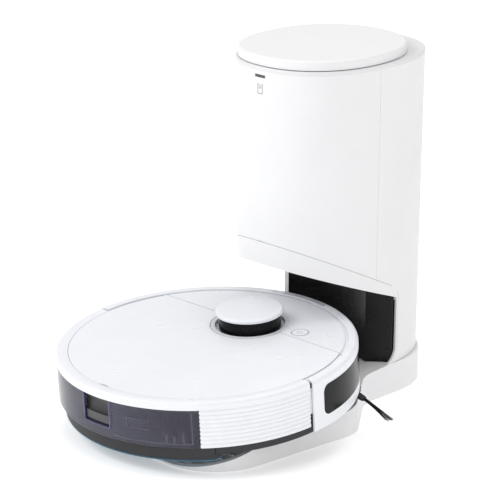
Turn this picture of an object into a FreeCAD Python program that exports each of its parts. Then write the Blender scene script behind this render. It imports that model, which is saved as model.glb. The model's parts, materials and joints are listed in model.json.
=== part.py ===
import FreeCAD, Part
import math
import os

# Robot vacuum standing on the ramp of its self-emptying station.  Millimetres, +Z up.
# +Y runs from the ramp's tip to the station's back, +X to the right of someone facing the station.
# The robot is drawn level about its own centre, then tipped and lifted onto the ramp plane.
# Everything is drawn with the docked robot's centre at X = Y = 0 and shifted at the end, so that
# the origin is the bottom centre of the whole object's bounding box.

# ---- Docking ----
PITCH = 3.68            # slope of the ramp plane, nose up, degrees
LIFT = 25.0             # height of the ramp plane under the robot's centre
TOUCH_GAP = 0.3         # gap left between surfaces of different moving pieces

# ---- Robot casing ----
BODY_R = 174.5          # radius of the casing behind the bumper
BUMPER_R = 176.0        # radius over the bumper
DECK_Z = 76.0           # top of the casing above the robot's own floor plane
UNDERSIDE_Z = 10.0      # ground clearance
BAND_Z = 67.0           # lower edge of the white band over the tank and the side covers
SKIRT_Z = 21.0          # lower edge of the tank and the side covers
RIM_WIDTH = 14.0        # width of the raised rim round the deck
SHOULDER_R = 3.5        # rounding of the rim's outer edge
WALL = 2.4              # casing wall
PLATE = 3.2             # thickness of deck and top cover
COVER_DROP = 0.9        # how far the deck and the cover lie below the rim's top
RIM_SLOPE = 6.0         # width of the slope from the rim's top down to the deck
CHASSIS_R = 167.0       # radius of the chassis pan
LEDGE = 2.0             # plate under the deck and the cover
RIB_DEPTH = 1.2         # grooves between the side covers' ribs

# ---- Bumper ----
BUMPER_TRAVEL = 2.0     # push towards the robot's centre
BUMPER_LOW = 14.0       # lower edge
BUMPER_WALL = 2.6
TONGUE_LOW = 36.0       # lower edge of the side cover's tongue behind the bumper's end
TONGUE_THICK = 2.2
BUMPER_END = -2.0       # the bumper runs from this angle to its mirror image
END_GAP = BUMPER_TRAVEL + 1.6    # gap between the bumper's ends and the side covers
WINDOW_LOW = 28.0
WINDOW_HIGH = 65.0
WINDOW_END = 3.5        # angle where the dark window starts
WINDOW_CORNER = 9.0
WINDOW_INSET = 1.2
STRIP_HALF_ANGLE = 11.5
STRIP_WIDTH = 5.0

# ---- Sensor turret and button ----
TURRET_Y = 72.0
CAP_R = 40.0
CAP_LOW = 89.5
CAP_TOP = 94.0
TURRET_R = 37.0
WELL_R = 46.6
LENS_WALL = 1.8
ROTOR_R = 30.0
BUTTON_X = 66.0
BUTTON_Y = 88.0
BUTTON_R = 10.5
COVER_GAP = 0.5         # gap round the top cover
COVER_PIN_R = 0.9
LUG_HALF = 1.5          # hinge lugs on the ledge, at the cover's front corners
LUG_WIDTH = 1.5
GROOVE = BUMPER_TRAVEL + 1.8     # sunk groove between the deck and the bumper's lip
GROOVE_FLOOR = 73.4     # height of the groove's floor
LIP_GAP = 0.4           # gap between that floor and the bumper's lip

# ---- Water tank and mop ----
TANK_HALF = 117.5       # half width of the tank
TANK_FRONT = -96.0      # the tank's front wall
TANK_WALL = 2.0
TANK_FIT = 0.6          # gap between the tank and its bay
LATCH_HALF = 21.0
LATCH_LOW = 34.0
LATCH_HIGH = 66.0
LATCH_TRAVEL = 1.5
MOP_HALF = 124.0
MOP_FRONT = -77.0
MOP_CORNER_Y = -104.0   # where the mop plate starts to narrow towards its front
MOP_FRONT_HALF = 115.0
MOP_R = 167.0
MOP_TOP = 20.4
MOP_LOW = 4.6
PAD_THICK = 2.6

# ---- Running gear ----
WHEEL_X = 118.0
WHEEL_Y = -5.0
WHEEL_R = 30.0
WHEEL_WIDTH = 18.0
ARM_PIVOT_Y = 36.0
ARM_PIVOT_Z = 38.0
ARM_THICK = 9.0
CASTER_Y = 125.0
CASTER_R = 9.0
CASTER_TRAIL = 6.0
CASTER_WIDTH = 14.0
BRUSH_X = 116.0
BRUSH_Y = 116.0
BRUSH_R = 93.0          # reach of the side brush bristles
BRUSH_HUB_R = 13.0
BRUSH_SHAFT_R = 3.5
BRUSH_REST = -17.0      # angle of the right side brush's outward arm
ROLLER_Y = -45.0
ROLLER_Z = 21.0
ROLLER_R = 17.5
ROLLER_HALF = 84.0
PORT_HALF_X = 32.0
PORT_Y0 = -6.0
PORT_Y1 = 19.0
CONTACT_X = 34.0
CONTACT_Y = 42.0
CONTACT_R = 5.0
CONTACT_TOP = 8.0       # how far the charging contacts stand above the ramp
BIN_HALF = 76.0
BIN_Y0 = -90.0
BIN_Y1 = 16.0
BIN_LOW = 43.0

# ---- Station column ----
COLUMN_A = 95.0         # half width
COLUMN_B = 119.0        # half depth
COLUMN_N = 2.3          # squareness of the column's plan
COLUMN_Y = 202.0        # centre of the column
COLUMN_TOP = 411.5
COLUMN_TAPER = 0.034    # share of the plan's size lost from the top down to the floor
COLUMN_WALL = 3.0
SPLIT_Y = 185.0         # seam between the front cover and the rear shell
SEAM_Z = 38.5           # joint between the base and the column
NOTCH_Y = 223.0         # how deep the docking notch is at the column's sides
NOTCH_Z = 174.5         # height of the notch at the column's front
NOTCH_SLOPE = 0.382     # fall of the notch's roof per unit of depth
TRIM_Z = 199.0          # height of the trim's upper edge at the column's front
TRIM_SLOPE = 0.495
TRIM_GAP = 0.5          # shadow line between the trim and the column
NOTCH_CORNER = 20.0
NECK_X = 64.0           # the neck's front corners
NECK_Y = 199.0
PANEL_THICK = 2.5
TOP_FRAME = 5.0
RISER_HALF = 24.0
RISER_DEPTH = 24.0
CHAMBER_A = 78.0
CHAMBER_B = 86.0
CHAMBER_LOW = 218.5

# ---- Lid ----
LID_A = 90.5
LID_B = 102.0
LID_N = 2.2
LID_Y = 188.0
LID_LOW = 412.5
LID_TOP = 423.5
LID_WALL = 2.5
LID_ROUND = 2.5
HINGE_R = 3.2
LID_PIN_R = 1.3
PIN_CLEARANCE = 0.05

# ---- Base ----
FOOT = 0.8
TRAY_WALL = 2.6
FOOT_FRONT_X = 129.5    # corners of the base's plan at the floor
FOOT_FRONT_Y = -124.5
FOOT_WIDE_X = 150.0
FOOT_WIDE_Y = 92.0
FOOT_NECK_X = 93.0
FOOT_NECK_Y = 166.0
NOSE_R = 75.0           # roundings of the base's plan: front corners,
WIDE_R = 45.0           # widest point,
HOLLOW_R = 40.0         # waist beside the docked robot's rear,
BACK_R = 86.0           # and the corners under the column
DRAFT = 4.5             # how far the base's walls lean in up to the height of the column's foot
NECK_DRAFT = 0.5        # the same under the column, where the walls stand almost upright
BREAK_Y = -62.0         # where the ramp turns down to its tip
TIP_Z = 3.0             # height of the ramp's tip
MAT_DEPTH = 1.4
MAT_EDGE = 5.0          # border of the base round the mat on the tip
MAT_LOW_Y = -58.0       # the mat's lower and upper edges, along the slope from the break
MAT_HIGH_Y = -3.0
MAT_BORDER = 1.5        # plain border round the mat's ribs
PAD_HALF = 13.0         # half width of the pad under each wheel
PAD_LOW_Y = -44.0
PAD_HIGH_Y = 32.0
SCOOP_R = 34.0          # hollows in the base's edges, beside the pads
SCOOP_Y = -12.0
SCOOP_DEPTH = 3.5
RIB_PITCH = 11.4
RIB_WIDTH = 2.2
RIB_HEIGHT = 0.8

PARTS = {}


# ---- Shape helpers ----

def vec(x, y, z):
    return FreeCAD.Vector(x, y, z)


def block(x0, x1, y0, y1, z0, z1):
    return Part.makeBox(x1 - x0, y1 - y0, z1 - z0, vec(x0, y0, z0))


def cylinder(r, z0, z1, x=0.0, y=0.0):
    return Part.makeCylinder(r, z1 - z0, vec(x, y, z0))


def rod(r, x0, x1, y, z):
    """Cylinder along X."""
    return Part.makeCylinder(r, x1 - x0, vec(x0, y, z), vec(1, 0, 0))


def ring(r_in, r_out, z0, z1, x=0.0, y=0.0):
    return cylinder(r_out, z0, z1, x, y).cut(cylinder(r_in, z0 - 1, z1 + 1, x, y))


def join(first, *others):
    shape = first
    for other in others:
        shape = shape.fuse(other)
    return shape.removeSplitter()


def mirrored(shape):
    return shape.mirror(vec(0, 0, 0), vec(1, 0, 0))


def rounded_wire(corners):
    """Closed wire in XY through corners (x, y, radius), each rounded by a tangent arc."""
    edges = []
    ends = []
    count = len(corners)
    for i in range(count):
        x, y, r = corners[i]
        here = vec(x, y, 0)
        before = (vec(corners[i - 1][0], corners[i - 1][1], 0) - here).normalize()
        nxt = corners[(i + 1) % count]
        after = (vec(nxt[0], nxt[1], 0) - here).normalize()
        if r <= 0:
            ends.append((here, None, here))
            continue
        half = before.getAngle(after) / 2
        start = here + before * (r / math.tan(half))
        end = here + after * (r / math.tan(half))
        middle = (before + after).normalize()
        top = here + middle * (r / math.sin(half) - r)
        ends.append((start, top, end))
    for i in range(count):
        start, top, end = ends[i]
        if top is not None:
            edges.append(Part.Arc(start, top, end).toShape())
        following = ends[(i + 1) % count][0]
        if end.distanceToPoint(following) > 1e-6:
            edges.append(Part.LineSegment(end, following).toShape())
    return Part.Wire(edges)


def symmetric(right_side):
    """Corners of an outline that is the same on both sides of X = 0, given its right half."""
    left = [(-x, y, r) for x, y, r in reversed(right_side)]
    return right_side + left


def prism(corners, z0, z1):
    """Rounded outline in XY, extruded along Z."""
    solid = Part.Face(rounded_wire(corners)).extrude(vec(0, 0, z1 - z0))
    solid.translate(vec(0, 0, z0))
    return solid


def side_prism(corners, x0, x1):
    """Rounded outline given as (y, z, radius), extruded along X."""
    face = Part.Face(rounded_wire(corners))
    face.rotate(vec(0, 0, 0), vec(1, 1, 1), 120)
    face.translate(vec(x0, 0, 0))
    return face.extrude(vec(x1 - x0, 0, 0))


def turned(corners, start, end):
    """Rounded profile given as (radius, z, rounding), turned about Z from start to end degrees."""
    face = Part.Face(rounded_wire(corners))
    face.rotate(vec(0, 0, 0), vec(1, 0, 0), 90)
    face.rotate(vec(0, 0, 0), vec(0, 0, 1), start)
    return face.revolve(vec(0, 0, 0), vec(0, 0, 1), end - start)


def oval_wire(a, b, n, y, z, points=48):
    """Superellipse |x/a|^n + |y/b|^n = 1 about (0, y), as one closed spline."""
    ring_points = []
    for i in range(points):
        t = 2 * math.pi * i / points
        c = math.cos(t)
        s = math.sin(t)
        px = a * math.copysign(abs(c) ** (2 / n), c)
        py = b * math.copysign(abs(s) ** (2 / n), s)
        ring_points.append(vec(px, y + py, z))
    curve = Part.BSplineCurve()
    curve.interpolate(Points=ring_points, PeriodicFlag=True)
    return Part.Wire([curve.toShape()])


def oval(a, b, n, y, z0, z1):
    return Part.Face(oval_wire(a, b, n, y, z0)).extrude(vec(0, 0, z1 - z0))


def docked(shape):
    """Tip a level robot shape onto the ramp."""
    placed = shape.copy()
    placed.rotate(vec(0, 0, 0), vec(1, 0, 0), PITCH)
    placed.translate(vec(0, 0, LIFT))
    return placed


def add(name, shape):
    PARTS[name] = shape


def add_robot(name, shape):
    PARTS[name] = docked(shape)


# ---- Derived sizes ----

CAP_SILL = DECK_Z - COVER_DROP              # top of the deck and the cover
LEDGE_TOP = CAP_SILL - PLATE - 0.6
LEDGE_LOW = LEDGE_TOP - LEDGE
RIM_IN = BODY_R - RIM_WIDTH
HINGE_Y = TURRET_Y
HINGE_Z = CAP_SILL - PLATE / 2
SEAM_Y = HINGE_Y + PLATE / 2 + 0.4
LUG_X = math.sqrt((RIM_IN - COVER_GAP) ** 2 - (HINGE_Y - LUG_HALF) ** 2) + 0.5
END_ANGLE = math.degrees(END_GAP / BODY_R)  # the bumper's end gap as an angle
NECK_R = math.hypot(NECK_X, NECK_Y)         # hollow front of the neck, round the docked robot
LID_HINGE_Y = LID_Y + LID_B + 0.8
LID_HINGE_Z = LID_LOW + 1.3
RISER_Y = NOTCH_Y + 4.5
BREAK_Z = LIFT + BREAK_Y * math.tan(math.radians(PITCH))
TIP_SLOPE = math.degrees(math.atan2(BREAK_Z - TIP_Z, BREAK_Y - FOOT_FRONT_Y))
FAR = 600.0                                 # longer than anything in the model


# ---- Robot: casing ----

def mop_corners(grow):
    """Plan of the mop plate without its round rear, which narrows towards the front."""
    right = [(MOP_HALF + grow, -FAR, 0), (MOP_HALF + grow, MOP_CORNER_Y, 12),
             (MOP_FRONT_HALF + grow, MOP_FRONT + grow, 8)]
    return symmetric(right)


def chassis_pan():
    """Tub that carries the running gear, open behind for the tank and the mop plate."""
    bay_half = TANK_HALF + TANK_FIT
    bay_front = TANK_FRONT + TANK_FIT
    roof = MOP_TOP + TANK_FIT
    floor_top = UNDERSIDE_Z + WALL
    pan = cylinder(CHASSIS_R, UNDERSIDE_Z, LEDGE_LOW)
    pan = pan.cut(cylinder(CHASSIS_R - WALL, floor_top, LEDGE_LOW + 1))
    walls = join(
        block(-bay_half - WALL, bay_half + WALL, bay_front, bay_front + WALL, roof, LEDGE_LOW),
        block(-bay_half - WALL, -bay_half, -FAR, bay_front, roof, LEDGE_LOW),
        block(bay_half, bay_half + WALL, -FAR, bay_front, roof, LEDGE_LOW),
        prism(mop_corners(TANK_FIT + WALL), UNDERSIDE_Z, roof + WALL))
    pan = pan.fuse(walls.common(cylinder(CHASSIS_R, UNDERSIDE_Z, LEDGE_LOW)))
    pan = pan.cut(block(-bay_half, bay_half, -FAR, bay_front, SKIRT_Z - TANK_FIT, LEDGE_LOW + 1))
    pan = pan.cut(prism(mop_corners(TANK_FIT), 0, roof))
    well_in = WHEEL_X - WHEEL_WIDTH / 2 - ARM_THICK - 6
    well_out = WHEEL_X + WHEEL_WIDTH / 2 + 3
    for side in (-1, 1):
        boss = cylinder(BRUSH_SHAFT_R + 4, UNDERSIDE_Z, UNDERSIDE_Z + 14, side * BRUSH_X, BRUSH_Y)
        pan = pan.fuse(boss.common(cylinder(CHASSIS_R, UNDERSIDE_Z, LEDGE_LOW)))
        pan = pan.cut(cylinder(BRUSH_SHAFT_R + TOUCH_GAP, 0, UNDERSIDE_Z + 12, side * BRUSH_X, BRUSH_Y))
        x0, x1 = sorted((side * well_in, side * well_out))
        pan = pan.cut(block(x0, x1, WHEEL_Y - WHEEL_R - 4, ARM_PIVOT_Y + 16, 0, floor_top + 1))
        pan = pan.cut(cylinder(7.2, 0, floor_top + 1, side * CONTACT_X, CONTACT_Y))
    pan = pan.cut(block(-ROLLER_HALF - 6, ROLLER_HALF + 6, ROLLER_Y - ROLLER_R - 3,
                        ROLLER_Y + ROLLER_R + 3, 0, floor_top + 1))
    pan = pan.cut(block(-PORT_HALF_X + 5, PORT_HALF_X - 5, PORT_Y0 + 5, PORT_Y1 - 5, 0, floor_top + 1))
    socket_roof = 2 * CASTER_R + 4
    pan = pan.fuse(cylinder(23.4, UNDERSIDE_Z, socket_roof + 2, 0, CASTER_Y))
    pan = pan.cut(cylinder(21, 0, socket_roof, 0, CASTER_Y))
    pan = pan.fuse(ring(8.3, 11, socket_roof, socket_roof + 14, 0, CASTER_Y))
    pan = pan.cut(cylinder(8.3, 0, socket_roof + 20, 0, CASTER_Y))
    add_robot("chassis_pan", pan.removeSplitter())


def bin_outline(grow, z0, z1):
    x = BIN_HALF + grow
    corners = [(x, BIN_Y0 - grow, 12), (x, BIN_Y1 + grow, 12), (-x, BIN_Y1 + grow, 12), (-x, BIN_Y0 - grow, 12)]
    return prism(corners, z0, z1)


def hinge_lug(side):
    """Block on the ledge that holds the outer end of a cover pin."""
    x0, x1 = sorted((side * LUG_X, side * (LUG_X + LUG_WIDTH)))
    return block(x0, x1, HINGE_Y - LUG_HALF, HINGE_Y + LUG_HALF, LEDGE_LOW, CAP_SILL - 0.3)


def pin_rod(side, radius):
    x0, x1 = sorted((side * (LUG_X - 10), side * (LUG_X + LUG_WIDTH)))
    return rod(radius, x0, x1, HINGE_Y, HINGE_Z)


def upper_deck():
    """Fixed top: front deck, ledge under the cover, and the rear rim band."""
    band = turned([(BODY_R - WALL, BAND_Z, 0), (BODY_R, BAND_Z, 0), (BODY_R, DECK_Z, SHOULDER_R),
                   (RIM_IN + RIM_SLOPE, DECK_Z, 4.0), (RIM_IN, CAP_SILL + 0.1, 0), (RIM_IN, LEDGE_LOW, 0),
                   (BODY_R - WALL, LEDGE_LOW, 0)],
                  180 - BUMPER_END + END_ANGLE, 360 + BUMPER_END - END_ANGLE)
    ledge = cylinder(CHASSIS_R, LEDGE_LOW, LEDGE_TOP)
    deck = cylinder(RIM_IN, LEDGE_TOP, CAP_SILL).cut(block(-FAR, FAR, -FAR, SEAM_Y, 0, FAR))
    deck = deck.cut(cylinder(RIM_IN - 3, LEDGE_TOP, CAP_SILL - PLATE).cut(
        block(-FAR, FAR, -FAR, SEAM_Y + 3, 0, FAR)))
    groove = ring(RIM_IN - 3, CHASSIS_R, LEDGE_TOP, GROOVE_FLOOR)
    groove = groove.cut(cylinder(RIM_IN, 0, FAR).common(block(-FAR, FAR, -FAR, SEAM_Y, 0, FAR)))
    shape = join(ledge, groove, deck, band)
    for side in (-1, 1):
        shape = shape.fuse(hinge_lug(side))
    for side in (-1, 1):
        shape = shape.cut(pin_rod(side, COVER_PIN_R))
    shape = shape.cut(cylinder(WELL_R + 0.1, 0, FAR, 0, TURRET_Y))
    shape = shape.cut(cylinder(BUTTON_R + TOUCH_GAP, 0, FAR, BUTTON_X, BUTTON_Y))
    shape = shape.cut(bin_outline(0.6, 0, FAR))
    add_robot("upper_deck", shape.removeSplitter())


def cover_pins():
    add_robot("cover_pins", Part.makeCompound([pin_rod(-1, COVER_PIN_R), pin_rod(1, COVER_PIN_R)]))


def top_cover():
    """Rear half of the deck: a thin plate whose round front edge turns on two pins."""
    radius = RIM_IN - COVER_GAP
    half = math.sqrt(radius ** 2 - HINGE_Y ** 2) - 0.5
    plate = cylinder(radius, CAP_SILL - PLATE, CAP_SILL).cut(block(-FAR, FAR, HINGE_Y, FAR, 0, FAR))
    plate = plate.fuse(rod(PLATE / 2, -half, half, HINGE_Y, HINGE_Z))
    plate = plate.cut(cylinder(WELL_R + 0.9, 0, FAR, 0, TURRET_Y))
    plate = plate.cut(Part.makeCylinder(14, 10, vec(0, -radius - 11, CAP_SILL - 6)))
    for side in (-1, 1):
        plate = plate.cut(pin_rod(side, COVER_PIN_R + PIN_CLEARANCE))
    add_robot("top_cover", plate.removeSplitter())


def side_cover():
    """Curved panel between the tank and the bumper, with eight long ribs."""
    tank_angle = -math.degrees(math.acos(TANK_HALF / BODY_R))
    low = SKIRT_Z
    high = BAND_Z - 0.4
    face_r = BODY_R - 0.6
    pitch = (high - low - 4) / 8
    corners = [(CHASSIS_R + 0.2, low, 0), (face_r, low, 0)]
    for i in range(8):
        start = low + 2.6 + i * pitch
        corners += [(face_r, start, 0), (face_r - RIB_DEPTH, start, 0),
                    (face_r - RIB_DEPTH, start + pitch / 2, 0), (face_r, start + pitch / 2, 0)]
    corners += [(face_r, high, 0), (CHASSIS_R + 0.2, high, 0)]
    right = turned(corners, tank_angle, BUMPER_END - END_ANGLE)
    right = right.cut(block(0, TANK_HALF + TANK_FIT, -FAR, 0, 0, FAR))
    end = BUMPER_END - END_ANGLE
    tongue = [(CHASSIS_R + 0.2, TONGUE_LOW, 0), (CHASSIS_R + TONGUE_THICK, TONGUE_LOW, 0),
              (CHASSIS_R + TONGUE_THICK, high, 0), (CHASSIS_R + 0.2, high, 0)]
    right = right.fuse(turned(tongue, end - 1, end + 5)).removeSplitter()
    add_robot("side_cover_r", right)
    add_robot("side_cover_l", mirrored(right))


# ---- Robot: bumper ----

def window_shape(grow):
    y0 = BUMPER_R * math.sin(math.radians(WINDOW_END)) - grow
    outline = [(y0, WINDOW_LOW - grow, WINDOW_CORNER), (FAR, WINDOW_LOW - grow, 0),
               (FAR, WINDOW_HIGH + grow, 0), (y0, WINDOW_HIGH + grow, WINDOW_CORNER)]
    band = ring(BUMPER_R - WINDOW_INSET - grow, BUMPER_R + 0.2 + grow, 0, DECK_Z)
    return band.common(side_prism(outline, -FAR, FAR))


def bumper():
    lip_in = RIM_IN + GROOVE
    lip_low = GROOVE_FLOOR + LIP_GAP
    shell = turned([(BUMPER_R - BUMPER_WALL, BUMPER_LOW, 0), (BUMPER_R, BUMPER_LOW, 1.2),
                    (BUMPER_R, DECK_Z, SHOULDER_R + 1), (lip_in, DECK_Z, 1.0), (lip_in, lip_low, 0),
                    (BUMPER_R - BUMPER_WALL, lip_low, 0)], BUMPER_END, 180 - BUMPER_END)
    shell = shell.cut(window_shape(0.05))
    strip_out = BUMPER_R - 4.6
    strip_in = strip_out - STRIP_WIDTH
    shell = shell.cut(turned([(strip_in, DECK_Z - 1, 0), (strip_out, DECK_Z - 1, 0), (strip_out, DECK_Z + 1, 0),
                              (strip_in, DECK_Z + 1, 0)], 90 - STRIP_HALF_ANGLE, 90 + STRIP_HALF_ANGLE))
    add_robot("bumper", shell)
    add_robot("bumper_window", window_shape(0))
    lenses = []
    for start, end in ((-1.0, -0.5), (-0.46, 0.46), (0.5, 1.0)):
        profile = [(strip_in + 0.1, DECK_Z - 1, 0), (strip_out - 0.1, DECK_Z - 1, 0),
                   (strip_out - 0.1, DECK_Z + 0.1, 0), (strip_in + 0.1, DECK_Z + 0.1, 0)]
        lenses.append(turned(profile, 90 + start * STRIP_HALF_ANGLE, 90 + end * STRIP_HALF_ANGLE))
    add_robot("rim_strip", Part.makeCompound(lenses))


# ---- Robot: sensor turret and button ----

def turret():
    floor_z = LEDGE_TOP
    base = ring(WELL_R - 5, WELL_R, floor_z - 4, CAP_SILL, 0, TURRET_Y)
    base = base.fuse(cylinder(WELL_R, floor_z - 4, floor_z, 0, TURRET_Y))
    base = base.fuse(cylinder(4, floor_z, CAP_LOW - 6, 0, TURRET_Y))
    add_robot("turret_base", base.removeSplitter())
    add_robot("turret_window", ring(TURRET_R - LENS_WALL, TURRET_R, floor_z, CAP_LOW, 0, TURRET_Y))
    cap = turned([(0, CAP_LOW, 0), (CAP_R, CAP_LOW, 0.8), (CAP_R, CAP_TOP, 2.4), (0, CAP_TOP, 0)], 0, 360)
    cap.translate(vec(0, TURRET_Y, 0))
    add_robot("turret_cap", cap)
    rotor = ring(4 + PIN_CLEARANCE, ROTOR_R, floor_z + 1.5, CAP_LOW - 2, 0, TURRET_Y)
    eye_z = (floor_z + CAP_LOW) / 2
    for x in (-9, 9):
        rotor = rotor.cut(Part.makeCylinder(4, 12, vec(x, TURRET_Y + ROTOR_R - 6, eye_z), vec(0, 1, 0)))
    add_robot("lidar_rotor", rotor)


def start_button():
    disc = turned([(0, LEDGE_TOP, 0), (BUTTON_R, LEDGE_TOP, 0), (BUTTON_R, CAP_SILL + 0.3, 0.6),
                   (0, CAP_SILL + 0.3, 0)], 0, 360)
    disc.translate(vec(BUTTON_X, BUTTON_Y, 0))
    add_robot("start_button", disc)


# ---- Robot: water tank and mop ----

def tank_block(inset, z0, z1):
    outline = cylinder(BODY_R - 0.3 - inset, z0, z1)
    x = TANK_HALF - inset
    return outline.common(block(-x, x, -FAR, TANK_FRONT - inset, z0, z1))


def soft_edges(shape, radius, wanted):
    """Round the edges whose bounding box passes the wanted test."""
    return shape.makeFillet(radius, [edge for edge in shape.Edges if wanted(edge.BoundBox)])


def tank():
    """Clear open-topped tub, its cap with the filler and ribs, and the latch at the back."""
    top = BAND_Z - 0.5
    pocket_y = -(BODY_R - 9)
    pocket = block(-LATCH_HALF, LATCH_HALF, -FAR, pocket_y, LATCH_LOW, top + 1)
    pocket_wall = block(-LATCH_HALF - TANK_WALL, LATCH_HALF + TANK_WALL, -FAR, pocket_y + TANK_WALL,
                        LATCH_LOW - TANK_WALL, top + 1)
    shell = soft_edges(tank_block(0, SKIRT_Z, top), TANK_WALL, lambda box: box.ZMin < top - 0.1).cut(pocket)
    inside = tank_block(TANK_WALL, SKIRT_Z + TANK_WALL, top + 1).cut(pocket_wall)
    add_robot("tank_shell", shell.cut(inside))
    cap = tank_block(TANK_WALL + 0.1, top - 4, top - 1).cut(pocket_wall)
    ribs = []
    for i in range(7):
        x = 62 + i * 6
        ribs.append(block(x, x + 1.6, TANK_FRONT - 40, TANK_FRONT - 6, SKIRT_Z + TANK_WALL + 0.2, top - 4))
    float_box = block(-70, -46, -140, -118, SKIRT_Z + 6, SKIRT_Z + 24)
    stem = block(-60, -56, -131, -127, SKIRT_Z + 24, top - 4)
    pump = cylinder(9, SKIRT_Z + TANK_WALL + 0.2, top - 4, 38, -122)
    add_robot("tank_inner", join(cap, float_box, stem, pump, *[r.common(tank_block(6, 0, 99)) for r in ribs]))
    lever = cylinder(BODY_R - 3, LATCH_LOW + 1, top - 1.4)
    lever = lever.common(block(-LATCH_HALF + 0.8, LATCH_HALF - 0.8, -FAR, pocket_y - LATCH_TRAVEL - 0.7, 0, FAR))
    add_robot("tank_latch", lever)


def mop():
    plate = cylinder(MOP_R, MOP_LOW, MOP_TOP).common(prism(mop_corners(0), 0, FAR))
    pocket = cylinder(MOP_R - 3, MOP_LOW + 4, FAR)
    plate = plate.cut(pocket.common(prism(mop_corners(-3), 0, FAR)))
    add_robot("mop_plate", plate)
    pad = cylinder(MOP_R, MOP_LOW - PAD_THICK, MOP_LOW)
    add_robot("mop_pad", pad.common(prism(mop_corners(0.5), 0, FAR)))


# ---- Robot: dust bin, drive and electrics ----

def dust_bin():
    top = LEDGE_TOP - 0.2
    shell = bin_outline(0, BIN_LOW, top).cut(bin_outline(-2, BIN_LOW + 2, top - 5.2))
    shell = shell.cut(block(-25, 25, -2, BIN_Y1 - 4, 0, BIN_LOW + 3))
    tray = prism([(50, -60, 8), (50, -22, 8), (-50, -22, 8), (-50, -60, 8)], top - 3.2, top + 1)
    add_robot("dust_bin", shell.cut(tray))
    bail = prism([(48, -58, 7), (48, -24, 7), (-48, -24, 7), (-48, -58, 7)], top - 3, top - 0.2)
    bail = bail.cut(prism([(40, -50, 4), (40, -32, 4), (-40, -32, 4), (-40, -50, 4)], 0, FAR))
    add_robot("bin_handle", bail)


def electrics():
    fan = cylinder(26, UNDERSIDE_Z + 5, UNDERSIDE_Z + 30, -48, 52)
    fan = fan.fuse(cylinder(15, UNDERSIDE_Z + 30, UNDERSIDE_Z + 40, -48, 52))
    fan = fan.fuse(block(-74, -50, 18, 52, UNDERSIDE_Z + 7, UNDERSIDE_Z + 28))
    add_robot("suction_fan", fan.removeSplitter())
    pack = prism([(76, 34, 5), (76, 100, 5), (-14, 100, 5), (-14, 34, 5)], UNDERSIDE_Z + 4, UNDERSIDE_Z + 26)
    add_robot("battery", pack)
    board = block(-10, 74, 36, 98, 48, 49.6)
    for x, y, w, h in ((4, 46, 14, 3), (32, 60, 18, 2), (58, 44, 10, 6), (20, 84, 12, 4), (50, 84, 16, 3)):
        board = board.fuse(block(x, x + w, y, y + w * 0.6, 49.6, 49.6 + h))
    add_robot("main_board", board)
    pads = [cylinder(7, CONTACT_TOP + TOUCH_GAP, UNDERSIDE_Z + 2, side * CONTACT_X, CONTACT_Y) for side in (-1, 1)]
    add_robot("robot_contacts", Part.makeCompound(pads))


def roller():
    core = rod(ROLLER_R - 6, -ROLLER_HALF, ROLLER_HALF, ROLLER_Y, ROLLER_Z)
    for i in range(6):
        fin = block(-ROLLER_HALF, ROLLER_HALF, ROLLER_Y - 1.2, ROLLER_Y + 1.2, ROLLER_Z, ROLLER_Z + ROLLER_R)
        fin.rotate(vec(0, ROLLER_Y, ROLLER_Z), vec(1, 0, 0), 60 * i)
        core = core.fuse(fin)
    core = core.fuse(rod(3, -ROLLER_HALF - 4, ROLLER_HALF + 4, ROLLER_Y, ROLLER_Z))
    add_robot("main_brush", core.removeSplitter())
    x = ROLLER_HALF + 8
    frame = prism([(x, ROLLER_Y - 28, 6), (x, ROLLER_Y + 27, 6), (-x, ROLLER_Y + 27, 6),
                   (-x, ROLLER_Y - 28, 6)], UNDERSIDE_Z - 2.4, UNDERSIDE_Z)
    gap = ROLLER_R + 1.5
    frame = frame.cut(block(-ROLLER_HALF - 3, ROLLER_HALF + 3, ROLLER_Y - gap, ROLLER_Y + gap, 0, FAR))
    for side in (-1, 1):
        x0, x1 = sorted((side * (ROLLER_HALF + 1), side * (ROLLER_HALF + 6)))
        bearing = block(x0, x1, ROLLER_Y - 7, ROLLER_Y + 7, UNDERSIDE_Z - 2.4, ROLLER_Z + 7)
        frame = frame.fuse(bearing)
    frame = frame.cut(rod(3 + PIN_CLEARANCE, -ROLLER_HALF - 9, ROLLER_HALF + 9, ROLLER_Y, ROLLER_Z))
    add_robot("brush_cover", frame.removeSplitter())


def bristle_arm(angle):
    """One tuft: a thin wedge that slopes from the hub's arm down to the floor."""
    blade = Part.Face(rounded_wire([(34, 6.2, 0), (BRUSH_R, 1.8, 0), (BRUSH_R, 3.0, 0), (34, 8.8, 0)]))
    blade.rotate(vec(0, 0, 0), vec(1, 0, 0), 90)
    blade.translate(vec(0, 3, 0))
    tuft = blade.extrude(vec(0, -6, 0))
    tuft.rotate(vec(0, 0, 0), vec(0, 0, 1), angle)
    return tuft


def side_brushes():
    low = UNDERSIDE_Z - 4.5
    hub = cylinder(BRUSH_HUB_R, low, UNDERSIDE_Z - 0.5).fuse(cylinder(BRUSH_SHAFT_R, low, UNDERSIDE_Z + 11))
    tufts = []
    for angle in (BRUSH_REST, BRUSH_REST + 180):
        arm = prism([(0, -5, 0), (34, -3.5, 3), (34, 3.5, 3), (0, 5, 0)], low, low + 3)
        arm.rotate(vec(0, 0, 0), vec(0, 0, 1), angle)
        hub = hub.fuse(arm)
        tufts.append(bristle_arm(angle))
    hub = hub.removeSplitter()
    bristles = Part.makeCompound(tufts)
    for shape in (hub, bristles):
        shape.translate(vec(BRUSH_X, BRUSH_Y, 0))
    add_robot("side_brush_r", hub)
    add_robot("side_brush_l", mirrored(hub))
    add_robot("side_bristles_r", bristles)
    add_robot("side_bristles_l", mirrored(bristles))


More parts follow.
